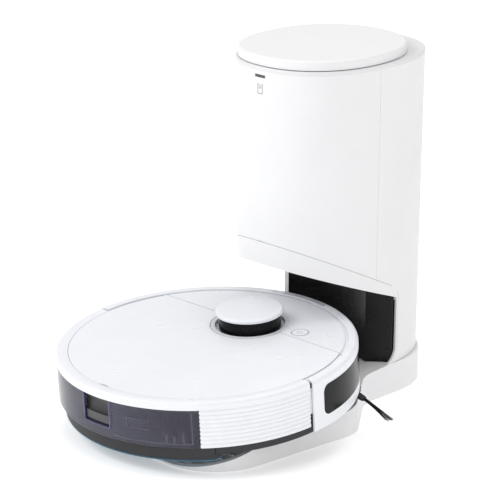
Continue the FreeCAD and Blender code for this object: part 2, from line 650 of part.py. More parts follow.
def drive_wheel():
    axle_z = WHEEL_R + TOUCH_GAP
    inner = WHEEL_X - WHEEL_WIDTH / 2
    wheel = rod(WHEEL_R, inner, inner + WHEEL_WIDTH, WHEEL_Y, axle_z)
    wheel = wheel.cut(rod(WHEEL_R - 8, inner + WHEEL_WIDTH - 3, inner + WHEEL_WIDTH + 1, WHEEL_Y, axle_z))
    wheel = wheel.cut(rod(3 + PIN_CLEARANCE, inner - 1, inner + 11, WHEEL_Y, axle_z))
    add_robot("drive_wheel_r", wheel)
    add_robot("drive_wheel_l", mirrored(wheel))
    outline = [(WHEEL_Y - 12, axle_z - 12, 11), (ARM_PIVOT_Y + 11, ARM_PIVOT_Z - 11, 10),
               (ARM_PIVOT_Y + 11, ARM_PIVOT_Z + 11, 10), (WHEEL_Y - 12, axle_z + 12, 11)]
    arm = side_prism(outline, inner - 1 - ARM_THICK, inner - 1)
    arm = arm.fuse(rod(3, inner - 2, inner + 10, WHEEL_Y, axle_z))
    arm = arm.fuse(rod(4, inner - ARM_THICK - 5, inner - 1, ARM_PIVOT_Y, ARM_PIVOT_Z))
    add_robot("wheel_arm_r", arm)
    add_robot("wheel_arm_l", mirrored(arm))


def caster():
    axle_y = CASTER_Y - CASTER_TRAIL
    axle_z = CASTER_R + TOUCH_GAP
    plate_z = 2 * CASTER_R + 1
    half = CASTER_WIDTH / 2
    fork = cylinder(14, plate_z, plate_z + 2.4, 0, CASTER_Y)
    fork = fork.fuse(cylinder(8, plate_z, plate_z + 15, 0, CASTER_Y))
    for x in (-half - 3, half + 0.6):
        leg = side_prism([(axle_y - 4, axle_z - 4, 3.5), (CASTER_Y + 3, plate_z, 0), (CASTER_Y + 3, plate_z + 1, 0),
                          (axle_y - 4, plate_z + 1, 0)], x, x + 2.4)
        fork = fork.fuse(leg)
    fork = fork.fuse(rod(1.5, -half - 1, half + 1, axle_y, axle_z))
    add_robot("caster_fork", fork.removeSplitter())
    tyre = rod(CASTER_R, -half, half, axle_y, axle_z)
    add_robot("caster_wheel", tyre.cut(rod(1.5 + PIN_CLEARANCE, -half - 1, half + 1, axle_y, axle_z)))


# ---- Station: base ----

def base_solid(inset, z0, z1):
    """Base plan lofted from the floor up to the height where the column stands on it."""
    back = COLUMN_Y + COLUMN_B * (1 - COLUMN_TAPER) + 1
    wires = []
    for lean, neck_lean, z in ((0, 0, z0), (DRAFT, NECK_DRAFT, z1)):
        less = inset + lean
        neck_x = FOOT_NECK_X - inset - neck_lean
        corners = [(FOOT_FRONT_X - less, FOOT_FRONT_Y + less, NOSE_R - less),
                   (FOOT_WIDE_X - less, FOOT_WIDE_Y, WIDE_R), (neck_x, FOOT_NECK_Y, HOLLOW_R),
                   (neck_x, back - inset - neck_lean, BACK_R - inset - neck_lean)]
        wire = rounded_wire(symmetric(corners))
        wire.translate(vec(0, 0, z))
        wires.append(wire)
    return Part.makeLoft(wires, True, True)


def above_ramp(offset):
    """Space over the ramp plane, in front of the column."""
    return docked(block(-FAR, FAR, -FAR, NOTCH_Y + 5, offset, 200))


def on_tip(shape):
    """Place a shape drawn level, with Y = 0 at the ramp's break, on the slope down to the tip."""
    placed = shape.copy()
    placed.rotate(vec(0, 0, 0), vec(1, 0, 0), TIP_SLOPE)
    placed.translate(vec(0, BREAK_Y, BREAK_Z))
    return placed


def above_tip(offset):
    """Space over the steeper slope at the ramp's tip."""
    return on_tip(block(-FAR, FAR, -FAR, 8, offset, 200))


def mat_layer(inset, z0, z1):
    """Layer on the tip's slope, its ends parallel to the base's outline."""
    strip = block(-FAR, FAR, MAT_LOW_Y + inset, MAT_HIGH_Y - inset, z0, z1)
    return on_tip(strip).common(base_solid(MAT_EDGE + inset, FOOT, SEAM_Z))


def scoop(grow):
    """Round hollows in the base's edges beside the wheels."""
    left = rod(SCOOP_R + grow, -FAR, -WHEEL_X - PAD_HALF, SCOOP_Y, SCOOP_R - SCOOP_DEPTH)
    right = rod(SCOOP_R + grow, WHEEL_X + PAD_HALF, FAR, SCOOP_Y, SCOOP_R - SCOOP_DEPTH)
    return docked(Part.makeCompound([left, right]))


def wheel_pad(side, z0, z1):
    x0, x1 = sorted((side * (WHEEL_X - PAD_HALF), side * (WHEEL_X + PAD_HALF)))
    return prism([(x1, PAD_LOW_Y, 10), (x1, PAD_HIGH_Y, 10), (x0, PAD_HIGH_Y, 10), (x0, PAD_LOW_Y, 10)], z0, z1)


def base():
    tray = base_solid(0, FOOT, SEAM_Z).cut(above_ramp(0)).cut(above_tip(0))
    hollow = base_solid(TRAY_WALL, FOOT - 1, SEAM_Z + 1).cut(above_ramp(-TRAY_WALL)).cut(above_tip(-TRAY_WALL))
    hollow = hollow.cut(block(-FAR, FAR, -FAR, FAR, SEAM_Z - TRAY_WALL, FAR)).cut(scoop(TRAY_WALL))
    tray = tray.cut(hollow).cut(scoop(0))
    tray = tray.cut(mat_layer(0, -MAT_DEPTH, 5))
    for side in (-1, 1):
        tray = tray.cut(docked(wheel_pad(side, -MAT_DEPTH, 5)))
        tray = tray.cut(docked(cylinder(CONTACT_R + TOUCH_GAP, -8, 5, side * CONTACT_X, CONTACT_Y)))
    tray = tray.cut(docked(block(-PORT_HALF_X, PORT_HALF_X, PORT_Y0, PORT_Y1, -8, 5)))
    tray = tray.cut(block(-RISER_HALF, RISER_HALF, RISER_Y, RISER_Y + RISER_DEPTH, 10, FAR))
    add("base_tray", tray)
    plate = base_solid(TRAY_WALL + 3.0, FOOT, SEAM_Z)
    plate = plate.common(block(-FAR, FAR, BREAK_Y, FAR, FOOT, FOOT + 1.8))
    add("base_plate", plate)
    feet = []
    for x, y in ((104, -46), (132, 70), (80, 180), (62, 285)):
        feet += [cylinder(9, 0, FOOT, x, y), cylinder(9, 0, FOOT, -x, y)]
    add("base_feet", Part.makeCompound(feet))


def ramp_mat():
    """Ribbed grey inserts on the ramp: one wide mat on the tip and a pad under each wheel."""
    mat = mat_layer(0, -MAT_DEPTH, -0.2)
    ribbed = mat_layer(MAT_BORDER, -0.3, RIB_HEIGHT)
    count = int((MAT_HIGH_Y - MAT_LOW_Y) / RIB_PITCH)
    for i in range(count):
        y = MAT_LOW_Y + MAT_BORDER + 2 + i * RIB_PITCH
        mat = mat.fuse(on_tip(block(-FAR, FAR, y, y + RIB_WIDTH, -0.3, RIB_HEIGHT)).common(ribbed))
    pieces = [mat.removeSplitter()]
    for side in (-1, 1):
        pad = wheel_pad(side, -MAT_DEPTH, -0.6)
        x0, x1 = sorted((side * (WHEEL_X - PAD_HALF + 3), side * (WHEEL_X + PAD_HALF - 3)))
        for i in range(9):
            y = PAD_LOW_Y + 8 + i * 7
            pad = pad.fuse(block(x0, x1, y, y + 3.5, -0.7, 0))
        pieces.append(docked(pad.removeSplitter()))
    add("ramp_mat", Part.makeCompound(pieces))


def charge_contacts():
    for side, name in ((-1, "charge_contact_l"), (1, "charge_contact_r")):
        stud = turned([(0, -4, 0), (CONTACT_R, -4, 0), (CONTACT_R, CONTACT_TOP, 2.5), (0, CONTACT_TOP, 0)], 0, 360)
        stud.translate(vec(side * CONTACT_X, CONTACT_Y, 0))
        add(name, docked(stud))


def dust_path():
    """Rubber seal on the ramp, flat duct under it and the riser up to the bag."""
    seal = block(-PORT_HALF_X + 0.2, PORT_HALF_X - 0.2, PORT_Y0 + 0.2, PORT_Y1 - 0.2, -TRAY_WALL, 7.4)
    opening = block(-PORT_HALF_X + 5, PORT_HALF_X - 5, PORT_Y0 + 5, PORT_Y1 - 5, -FAR, FAR)
    add("port_seal", docked(seal.cut(opening)))
    wall = 1.6
    low = FOOT + 2.2
    back = RISER_Y + RISER_DEPTH
    duct = block(-RISER_HALF, RISER_HALF, PORT_Y0, back, low, SEAM_Z - TRAY_WALL - 1)
    duct = duct.cut(above_ramp(-TRAY_WALL - 0.2))
    duct = duct.fuse(block(-RISER_HALF, RISER_HALF, RISER_Y, back, low, CHAMBER_LOW))
    channel = block(-RISER_HALF + wall, RISER_HALF - wall, PORT_Y0 + 4, back - wall, low + wall,
                    SEAM_Z - TRAY_WALL - 1 - wall)
    channel = channel.cut(above_ramp(-TRAY_WALL - 0.2 - wall))
    duct = duct.cut(channel)
    duct = duct.cut(block(-RISER_HALF + wall, RISER_HALF - wall, RISER_Y + wall, back - wall, low + wall, FAR))
    duct = duct.cut(docked(block(-RISER_HALF + 3, RISER_HALF - 3, PORT_Y0 + 5, PORT_Y1 - 5, -6, 5)))
    add("dust_duct", duct.removeSplitter())


# ---- Station: column ----

def column(inset, z0, z1):
    """Column's tapered plan, lofted between two heights; inset makes it smaller all round."""
    wires = []
    for z in (z0, z1):
        share = 1 - COLUMN_TAPER * (COLUMN_TOP - z) / COLUMN_TOP
        wires.append(oval_wire(COLUMN_A * share - inset, COLUMN_B * share - inset, COLUMN_N, COLUMN_Y, z))
    return Part.makeLoft(wires, True, True)


def column_front():
    return COLUMN_Y - COLUMN_B


def notch(lift, grow, corner):
    """Space of the docking notch seen from the side; lift and grow enlarge it."""
    low = SEAM_Z - grow
    slope = NOTCH_SLOPE if lift == 0 else TRIM_SLOPE
    front_z = NOTCH_Z if lift == 0 else TRIM_Z
    back = NOTCH_Y + grow
    front = column_front() - 60
    roof_back = front_z - slope * (back - column_front())
    roof_front = front_z - slope * (front - column_front())
    corners = [(front, low, 0), (back, low, NOTCH_CORNER + grow), (back, roof_back, corner),
               (front, roof_front, 0)]
    return side_prism(corners, -FAR, FAR)


def behind_neck(shift):
    """Everything behind the neck's front face: two slanted cheeks and a hollow centre."""
    cheek = (NOTCH_Y - NECK_Y) / (COLUMN_A - NECK_X)
    far_y = NECK_Y + cheek * (COLUMN_A + 40 - NECK_X)
    corners = [(COLUMN_A + 40, far_y, 0), (COLUMN_A + 40, FAR, 0), (-COLUMN_A - 40, FAR, 0),
               (-COLUMN_A - 40, far_y, 0), (-NECK_X, NECK_Y, 0), (NECK_X, NECK_Y, 0)]
    region = prism(corners, 0, FAR).cut(cylinder(NECK_R, -1, FAR + 1))
    region.translate(vec(0, shift, 0))
    return region


def column_shells():
    top = COLUMN_TOP - TOP_FRAME
    wall = column(0, SEAM_Z, top).cut(column(COLUMN_WALL, SEAM_Z - 1, top + 1))
    wall = wall.cut(notch(1, 3 + TRIM_GAP, 14))
    front = wall.common(block(-FAR, FAR, -FAR, SPLIT_Y, 0, FAR))
    lens_block = block(-8, 8, column_front() - 5, column_front() + 8, top - 7.5, top - 4)
    add("status_lens", front.common(lens_block))
    add("front_cover", front.cut(lens_block))
    rear = wall.common(block(-FAR, FAR, SPLIT_Y + 0.3, FAR, 0, FAR))
    low = SEAM_Z + 45
    grille_block = block(-34, 34, COLUMN_Y, FAR, low, low + 58)
    grille = rear.common(grille_block)
    for i in range(9):
        grille = grille.cut(block(-29, 29, COLUMN_Y, FAR, low + 4.5 + i * 5.8, low + 7.5 + i * 5.8))
    add("exhaust_grille", grille)
    rear = rear.cut(grille_block).cut(block(-14, 14, COLUMN_Y, FAR, SEAM_Z + 7, SEAM_Z + 29))
    add("rear_shell", rear)


def overhang_trim():
    """White lip round the docking notch, with the slanted plate that closes the overhang."""
    solid = column(0, SEAM_Z, TRIM_Z + 20).common(notch(1, 3, 14)).cut(notch(0, 0, 6))
    lip = solid.cut(column(COLUMN_WALL, SEAM_Z - 1, TRIM_Z + 21))
    roof_layer = notch(0, 0, 6)
    roof_layer.translate(vec(0, 0, COLUMN_WALL))
    thin_tip = block(-FAR, FAR, -FAR, NOTCH_Y - NOTCH_CORNER + 6, SEAM_Z - 1, SEAM_Z + 3)
    trim = lip.fuse(solid.common(roof_layer)).cut(thin_tip)
    add("overhang_trim", trim)
    return trim


def bay_panel(trim):
    """Dark glossy front of the neck."""
    panel = behind_neck(0).cut(behind_neck(PANEL_THICK))
    panel = panel.common(column(COLUMN_WALL + 0.1, SEAM_Z, FAR)).common(notch(0, 30, 0.5))
    add("bay_panel", panel.cut(trim))


def bag_bay():
    """Chamber under the lid, the dust bag in it and the card collar on the riser."""
    top = COLUMN_TOP - TOP_FRAME - 0.4
    tub = oval(CHAMBER_A, CHAMBER_B, LID_N, LID_Y, CHAMBER_LOW, top)
    tub = tub.cut(oval(CHAMBER_A - 2, CHAMBER_B - 2, LID_N, LID_Y, CHAMBER_LOW + 2, top + 1))
    hole_y = RISER_Y + RISER_DEPTH / 2
    tub = tub.cut(cylinder(9, CHAMBER_LOW - 1, CHAMBER_LOW + 3, 0, hole_y))
    add("bag_chamber", tub)
    collar_z = CHAMBER_LOW + 2.2
    collar = prism([(34, hole_y - 26, 5), (34, hole_y + 22, 5), (-34, hole_y + 22, 5), (-34, hole_y - 26, 5)],
                   collar_z, collar_z + 3)
    add("bag_collar", collar.cut(cylinder(9, 0, FAR, 0, hole_y)))
    bag = oval(CHAMBER_A - 9, CHAMBER_B - 10, LID_N, LID_Y, collar_z + 3.4, top - 34)
    add("dust_bag", bag)


def top_frame():
    top = COLUMN_TOP
    frame = column(0, top - TOP_FRAME, top)
    frame = soft_edges(frame, 1.4, lambda box: box.ZMin > top - 0.1)
    frame = frame.cut(oval(CHAMBER_A - 2, CHAMBER_B - 2, LID_N, LID_Y, 0, FAR))
    barrel = rod(HINGE_R + 0.4, -26.5, 26.5, LID_HINGE_Y, LID_HINGE_Z)
    for x0, x1 in ((26.5, 38), (-38, -26.5)):
        lug = rod(HINGE_R, x0, x1, LID_HINGE_Y, LID_HINGE_Z)
        lug = lug.fuse(block(x0, x1, LID_HINGE_Y - HINGE_R, LID_HINGE_Y + HINGE_R, top - 1, LID_HINGE_Z))
        frame = frame.fuse(lug)
    frame = frame.cut(barrel)
    frame = frame.cut(rod(LID_PIN_R, -39, 39, LID_HINGE_Y, LID_HINGE_Z))
    add("top_frame", frame.removeSplitter())
    pins = [rod(LID_PIN_R, 16, 38, LID_HINGE_Y, LID_HINGE_Z), rod(LID_PIN_R, -38, -16, LID_HINGE_Y, LID_HINGE_Z)]
    add("lid_pins", Part.makeCompound(pins))


def station_lid():
    lid = oval(LID_A, LID_B, LID_N, LID_Y, LID_LOW, LID_TOP)
    lid = soft_edges(lid, LID_ROUND, lambda box: box.ZMin > LID_TOP - 0.1)
    inner_top = LID_TOP - LID_WALL
    lid = lid.cut(oval(LID_A - LID_WALL, LID_B - LID_WALL, LID_N, LID_Y, LID_LOW - 1, inner_top))
    barrel = rod(HINGE_R, -26, 26, LID_HINGE_Y, LID_HINGE_Z)
    lid = lid.fuse(barrel)
    lid = lid.cut(rod(LID_PIN_R + PIN_CLEARANCE, -27, 27, LID_HINGE_Y, LID_HINGE_Z))
    add("station_lid", lid)


def station_electrics():
    centre_y = (RISER_Y + RISER_DEPTH + COLUMN_Y + COLUMN_B * (1 - COLUMN_TAPER) - COLUMN_WALL) / 2
    low = SEAM_Z + 37
    fan = cylinder(29.5, low, low + 38, 0, centre_y).fuse(cylinder(21, low + 38, low + 70, 0, centre_y))
    add("station_fan", fan.removeSplitter())
    board_z = SEAM_Z + 9
    board = block(-70, -30, 230, 278, board_z, board_z + 1.6)
    for x, y, w, h in ((-66, 234, 12, 18), (-48, 236, 10, 12), (-66, 258, 14, 9), (-46, 262, 9, 22)):
        board = board.fuse(block(x, x + w, y, y + w, board_z + 1.6, board_z + 1.6 + h))
    add("power_board", board)
    back = COLUMN_Y + COLUMN_B * (1 - COLUMN_TAPER)
    socket_z = SEAM_Z + 18
    socket = block(-13.8, 13.8, back - 20, back - 1.2, socket_z - 10.8, socket_z + 10.8)
    socket = socket.cut(block(-9.5, 9.5, back - 14, back, socket_z - 6, socket_z + 6))
    for x in (-4, 4):
        socket = socket.fuse(Part.makeCylinder(1.2, 12, vec(x, back - 15, socket_z), vec(0, 1, 0)))
    add("mains_inlet", socket)


def build():
    chassis_pan()
    upper_deck()
    cover_pins()
    top_cover()
    side_cover()
    bumper()
    turret()
    start_button()
    tank()
    mop()
    dust_bin()
    electrics()
    roller()
    side_brushes()
    drive_wheel()
    caster()
    base()
    ramp_mat()
    charge_contacts()
    dust_path()
    column_shells()
    bay_panel(overhang_trim())
    bag_bay()
    top_frame()
    station_lid()
    station_electrics()


build()
os.makedirs("parts", exist_ok=True)
boxes = [shape.optimalBoundingBox(False, False) for shape in PARTS.values()]
front_y = min(box.YMin for box in boxes)
back_y = max(box.YMax for box in boxes)
shift_y = -(front_y + back_y) / 2
for name, shape in PARTS.items():
    shape.translate(vec(0, shift_y, 0))
    shape.exportStep("parts/" + name + ".step")
print("nodes", len(PARTS), "robot centre at y", round(shift_y, 6))
print("depth", round(back_y - front_y, 3), "height", round(max(box.ZMax for box in boxes), 3))
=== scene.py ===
import bpy
import bmesh
import json
import math
import numpy as np
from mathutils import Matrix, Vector


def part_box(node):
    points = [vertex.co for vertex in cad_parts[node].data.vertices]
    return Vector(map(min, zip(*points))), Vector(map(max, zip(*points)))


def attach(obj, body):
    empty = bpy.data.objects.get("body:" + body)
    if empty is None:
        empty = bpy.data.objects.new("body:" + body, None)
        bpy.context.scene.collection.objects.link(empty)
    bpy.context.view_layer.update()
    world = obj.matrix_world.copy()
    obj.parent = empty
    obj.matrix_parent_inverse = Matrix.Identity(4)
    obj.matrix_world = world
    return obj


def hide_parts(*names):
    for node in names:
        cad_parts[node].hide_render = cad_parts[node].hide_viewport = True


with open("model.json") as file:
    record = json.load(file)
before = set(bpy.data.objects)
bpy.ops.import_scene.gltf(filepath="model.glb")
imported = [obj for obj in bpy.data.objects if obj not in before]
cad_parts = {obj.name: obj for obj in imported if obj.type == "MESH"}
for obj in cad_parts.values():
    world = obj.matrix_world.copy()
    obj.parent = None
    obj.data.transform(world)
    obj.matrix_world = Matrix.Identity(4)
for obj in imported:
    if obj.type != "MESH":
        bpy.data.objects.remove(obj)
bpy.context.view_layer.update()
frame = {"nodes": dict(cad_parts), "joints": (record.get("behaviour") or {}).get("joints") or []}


# Studio.  A long lens looks down a little at the robot's right rear corner, on a white sheet,
# under a large key light from the upper left, a weaker one from the right and a bright even
# surround.  The robot's own axes are read from its joints: across, ahead and up, from the foot
# under its centre.
joints = {joint["name"]: joint for joint in frame["joints"]}
across = np.array([1.0, 0.0, 0.0])
ahead = -np.array(joints["bumper_press"]["axis"])
up = np.array(joints["lidar_spin"]["axis"])
turret_ahead, turret_up = 0.072, 0.080
robot_foot = np.array(joints["lidar_spin"]["pos_m"]) - turret_ahead * ahead - turret_up * up
azimuth = math.radians(44.85)
elevation = math.radians(17.92)
distance = 2.808
side = Vector((math.cos(azimuth), math.sin(azimuth), 0))
look = Vector((-math.sin(azimuth) * math.cos(elevation),
               math.cos(azimuth) * math.cos(elevation), -math.sin(elevation)))
rise = side.cross(look)
aim_drop, aim_across, aim_rise = 0.0115, 0.0426, 0.1921
aim = Vector(robot_foot) - Vector((0, 0, aim_drop)) + side * aim_across + rise * aim_rise
lens = bpy.data.cameras.new("camera")
lens.lens = 175.6
lens.sensor_width = 36.0
lens.clip_end = 50
camera = bpy.data.objects.new("camera", lens)
camera.location = aim - look * distance
camera.rotation_euler = look.to_track_quat("-Z", "Y").to_euler()
bpy.context.scene.collection.objects.link(camera)
bpy.context.scene.camera = camera
bpy.context.scene.view_settings.view_transform = "Standard"


def lamp(name, place, target, size, power):
    """Square soft light at place, turned towards target."""
    data = bpy.data.lights.new(name, "AREA")
    data.size = size
    data.energy = power
    lit = bpy.data.objects.new(name, data)
    lit.location = place
    lit.rotation_euler = (Vector(target) - Vector(place)).to_track_quat("-Z", "Y").to_euler()
    bpy.context.scene.collection.objects.link(lit)


lamp("key_light", (-1.4, -2.0, 2.4), (0, 0, 0.1), 1.6, 40)
lamp("fill_light", (2.6, -0.8, 1.4), (0, 0, 0.2), 1.6, 6)
lamp("low_light", (1.7, -2.6, 0.5), (0, 0, 0.05), 1.2, 6)
lamp("top_light", (0.2, 0.3, 2.8), (0, 0, 0), 2.0, 24)
surround = bpy.data.worlds.new("surround")
surround.use_nodes = True
surround.node_tree.nodes["Background"].inputs["Color"].default_value = (1, 1, 1, 1)
surround.node_tree.nodes["Background"].inputs["Strength"].default_value = 0.62
bpy.context.scene.world = surround
floor_half = 12.0
floor_mesh = bpy.data.meshes.new("floor")
floor_corners = [(-floor_half, -floor_half, 0), (floor_half, -floor_half, 0),
                 (floor_half, floor_half, 0), (-floor_half, floor_half, 0)]
floor_mesh.from_pydata(floor_corners, [], [(0, 1, 2, 3)])
floor = bpy.data.objects.new("floor", floor_mesh)
bpy.context.scene.collection.objects.link(floor)
floor_paint = bpy.data.materials.new("floor_paint")
floor_paint.use_nodes = True
paper = floor_paint.node_tree.nodes["Principled BSDF"]
paper.inputs["Base Color"].default_value = (0.93, 0.93, 0.93, 1)
paper.inputs["Roughness"].default_value = 0.8
paper.inputs["Specular IOR Level"].default_value = 0.1
paper.inputs["Emission Color"].default_value = (1, 1, 1, 1)
paper.inputs["Emission Strength"].default_value = 0.34
floor.data.materials.append(floor_paint)


# White mouldings of the robot: deck, hinged cover, bumper, turret cap and button are
# injection-moulded ABS, with a spark-eroded satin face and the faint marks of handling.
def put(tree, kind, inputs=(), **properties):
    """Adds a shader node; an input is a number or colour, or the output linked into it."""
    node = tree.nodes.new(kind)
    for label, value in properties.items():
        setattr(node, label, value)
    for label, value in dict(inputs).items():
        if isinstance(value, bpy.types.NodeSocket):
            tree.links.new(value, node.inputs[label])
        else:
            node.inputs[label].default_value = value
    return node


def effect(name, inputs, output):
    """Empty node group: inputs as {name: default, or None for a vector}, and one output."""
    tree = bpy.data.node_groups.new(name, "ShaderNodeTree")
    for label, value in inputs.items():
        kind = "NodeSocketVector" if value is None else "NodeSocketFloat"
        made = tree.interface.new_socket(label, in_out="INPUT", socket_type=kind)
        if value is not None:
            made.default_value = value
    tree.interface.new_socket(output, in_out="OUTPUT", socket_type="NodeSocketFloat")
    return tree, tree.nodes.new("NodeGroupInput").outputs, tree.nodes.new("NodeGroupOutput").inputs


def scaled_ramp(tree, value, low, high, to_low=0.0, to_high=1.0):
    """The value's stretch from low to high, laid over to_low to to_high."""
    return put(tree, "ShaderNodeMapRange", {"Value": value, "From Min": low, "From Max": high,
                                            "To Min": to_low, "To Max": to_high}).outputs["Result"]


spark_grain, given, result = effect("spark_grain", {"Vector": None, "Fineness": 900.0}, "Height")
fine = put(spark_grain, "ShaderNodeTexNoise",
           {"Vector": given["Vector"], "Scale": given["Fineness"], "Detail": 2.0, "Roughness": 0.6})
spark_grain.links.new(fine.outputs["Fac"], result["Height"])

handling, given, result = effect("handling", {"Vector": None, "Spread": 14.0}, "Mask")
clouds = put(handling, "ShaderNodeTexNoise", {"Vector": given["Vector"], "Scale": given["Spread"],
                                              "Detail": 5.0, "Roughness": 0.62, "Distortion": 0.6})
handling.links.new(scaled_ramp(handling, clouds.outputs["Fac"], 0.36, 0.66), result["Mask"])

settled_dust, given, result = effect("settled_dust", {"Vector": None, "Amount": 0.3}, "Mask")
geometry = put(settled_dust, "ShaderNodeNewGeometry")
facing = put(settled_dust, "ShaderNodeSeparateXYZ", {0: geometry.outputs["Normal"]})
specks = put(settled_dust, "ShaderNodeTexNoise",
             {"Vector": given["Vector"], "Scale": 420.0, "Detail": 3.0})
upward = scaled_ramp(settled_dust, facing.outputs["Z"], 0.5, 1.0)
grains = scaled_ramp(settled_dust, specks.outputs["Fac"], 0.52, 0.75)
lying = put(settled_dust, "ShaderNodeMath", {0: upward, 1: grains}, operation="MULTIPLY")
dusty = put(settled_dust, "ShaderNodeMath", {0: lying.outputs[0], 1: given["Amount"]},
            operation="MULTIPLY")
settled_dust.links.new(dusty.outputs[0], result["Mask"])


def blended(tree, share, first, second):
    """Colour mix of first and second, by share."""
    mix = put(tree, "ShaderNodeMix", {0: share}, data_type="RGBA")
    for index, color in ((6, first), (7, second)):
        if isinstance(color, bpy.types.NodeSocket):
            tree.links.new(color, mix.inputs[index])
        else:
            mix.inputs[index].default_value = (*color, 1)
    return mix.outputs[2]


def group(tree, kind, inputs):
    """Output of a node group placed in the tree."""
    return put(tree, "ShaderNodeGroup", inputs, node_tree=kind).outputs[0]


dust_grey = (0.52, 0.50, 0.47)


def moulded(name, color, worn, rough, dust=0.25, fineness=900.0, depth=0.00004, spread=14.0,
            **shader):
    """Grained plastic or rubber: it drifts from color to worn, and over the range of rough."""
    paint = bpy.data.materials.new(name)
    paint.use_nodes = True
    tree = paint.node_tree
    surface = tree.nodes["Principled BSDF"]
    place = put(tree, "ShaderNodeTexCoord").outputs["Object"]
    marks = group(tree, handling, {"Vector": place, "Spread": spread})
    drift = blended(tree, marks, color, worn)
    if dust > 0:
        film = group(tree, settled_dust, {"Vector": place, "Amount": dust})
        drift = blended(tree, film, drift, dust_grey)
    tree.links.new(drift, surface.inputs["Base Color"])
    tree.links.new(scaled_ramp(tree, marks, 0.0, 1.0, *rough), surface.inputs["Roughness"])
    grain = group(tree, spark_grain, {"Vector": place, "Fineness": fineness})
    bump = put(tree, "ShaderNodeBump", {"Strength": 0.5, "Distance": depth, "Height": grain})
    tree.links.new(bump.outputs["Normal"], surface.inputs["Normal"])
    for label, value in shader.items():
        surface.inputs[label.replace("_", " ")].default_value = value
    return paint


def paint_nodes(paint, *nodes):
    """Gives CAD nodes, whose shapes stay as they are, their finish."""
    for node in nodes:
        frame["nodes"][node].data.materials.clear()
        frame["nodes"][node].data.materials.append(paint)


robot_white = moulded("robot_white", (0.80, 0.815, 0.85), (0.77, 0.785, 0.82), (0.27, 0.38),
                      dust=0.0, Coat_Weight=0.15, Coat_Roughness=0.2)
paint_nodes(robot_white, "upper_deck", "top_cover", "bumper", "turret_cap", "start_button")


# Turret's well: the white ring round the turret, whose floor and wall lie in the shade of the cap.
# Its white is painted darker than the deck's, as painted shade of the cap, and its satin face is
# left a little rougher by the tool.
well_white_painted_shade = moulded("well_white_painted_shade", (0.70, 0.71, 0.74), (0.64, 0.65, 0.68), (0.4, 0.5), dust=0.12)
paint_nodes(well_white_painted_shade, "turret_base")


# Side covers: ribbed panels between the tank and the bumper, moulded in matte white ABS and
# clipped to the chassis pan.  Eight long round-backed ribs run round each, inside a plain border,
# and a flat tongue reaches behind the bumper's end and closes the gap when the bumper is pressed.
MM = 0.001


def on_robot(points):
    """Robot coordinates in mm, (across, ahead, up from the wheels' plane), laid on the ramp."""
    return robot_foot + MM * (points @ np.stack([across, ahead, up]))


def grid_faces(rows, columns, round_rows=False, round_columns=False):
    """Faces between neighbouring points of a rows by columns grid, closed on itself where round."""
    r, c = np.meshgrid(np.arange(rows if round_rows else rows - 1),
                       np.arange(columns if round_columns else columns - 1), indexing="ij")
    below, beside = (r + 1) % rows, (c + 1) % columns
    return np.stack([r * columns + c, r * columns + beside, below * columns + beside,
                     below * columns + c], -1).reshape(-1, 4)


def skinned(rings, ends=True, round_rows=False):
    """Closed rings of points along a path: a skin between neighbours, a face at each end."""
    steps, count, _ = rings.shape
    faces = grid_faces(steps, count, round_rows, True).tolist()
    if ends:
        faces += [list(range(count))[::-1], list(range((steps - 1) * count, steps * count))]
    return rings.reshape(-1, 3), faces


def moulding(name, shapes, body, paint, replaced=(), crease=35):
    """One object from (points, faces) shapes: merged, turned outwards, sharp above crease."""
    points, faces, start = [], [], 0
    for shape_points, shape_faces in shapes:
        points.append(shape_points)
        faces += [[start + i for i in face] for face in shape_faces]
        start += len(shape_points)
    mesh = bpy.data.meshes.new(name)
    mesh.from_pydata(np.concatenate(points).tolist(), [], faces)
    work = bmesh.new()
    work.from_mesh(mesh)
    bmesh.ops.remove_doubles(work, verts=work.verts, dist=1e-6)
    bmesh.ops.recalc_face_normals(work, faces=work.faces)
    work.to_mesh(mesh)
    work.free()
    mesh.shade_smooth()
    mesh.set_sharp_from_angle(angle=math.radians(crease))
    made = bpy.data.objects.new(name, mesh)
    bpy.context.scene.collection.objects.link(made)
    mesh.materials.append(paint)
    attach(made, body)
    if replaced:
        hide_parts(*replaced)
    return made


def around(radius, angle, height):
    """Points at radius, angle in radians and height, round the robot's own upright axis."""
    radius, angle, height = np.broadcast_arrays(radius, angle, height)
    return np.stack([radius * np.cos(angle), radius * np.sin(angle), height], -1)


cover_low, cover_high, cover_face, cover_back = 21.0, 66.6, 173.9, 167.2
rib_count, rib_depth, rib_border = 8, 0.75, 3.0
cover_span = cover_high - cover_low
rise_steps = np.linspace(0, 1, 161)
rib_zone = np.clip((rise_steps * cover_span - rib_border) / (cover_span - 2 * rib_border), 0, 1)
rib_wave = 0.5 - 0.5 * np.cos(2 * math.pi * rib_count * rib_zone)
face_radius = cover_face - rib_depth * rib_wave ** 1.6
face_radius -= 0.8 * np.exp(-rise_steps * 60) + 0.8 * np.exp(-(1 - rise_steps) * 60)
face_height = cover_low + rise_steps * cover_span
profile_radius = np.concatenate([face_radius, [cover_back, cover_back]])
profile_height = np.concatenate([face_height, [cover_high, cover_low]])
side_white = moulded("side_white", (0.80, 0.812, 0.84), (0.76, 0.772, 0.80), (0.42, 0.55),
                     dust=0.03, fineness=700.0, depth=0.00006)
tank_edge = 118.1
tank_side = -np.arccos(tank_edge / profile_radius)
bumper_side = math.radians(-3.18)
along = np.linspace(0, 1, 60)[:, None]
cover_rings = around(profile_radius, tank_side + along * (bumper_side - tank_side), profile_height)
tongue_rings = around(np.array([170.6, 172.4, 172.4, 170.6]),
                      np.linspace(math.radians(-4), math.radians(1.7), 8)[:, None],
                      np.array([36.0, 36.0, 66.2, 66.2]))
shapes = [skinned(cover_rings), skinned(tongue_rings)]
for end, name in ((1, "side_cover_r"), (-1, "side_cover_l")):
    mirror = np.array([end, 1, 1])
    moulding(name + "_panel", [(on_robot(points * mirror), faces) for points, faces in shapes],
             "robot", side_white, [name])


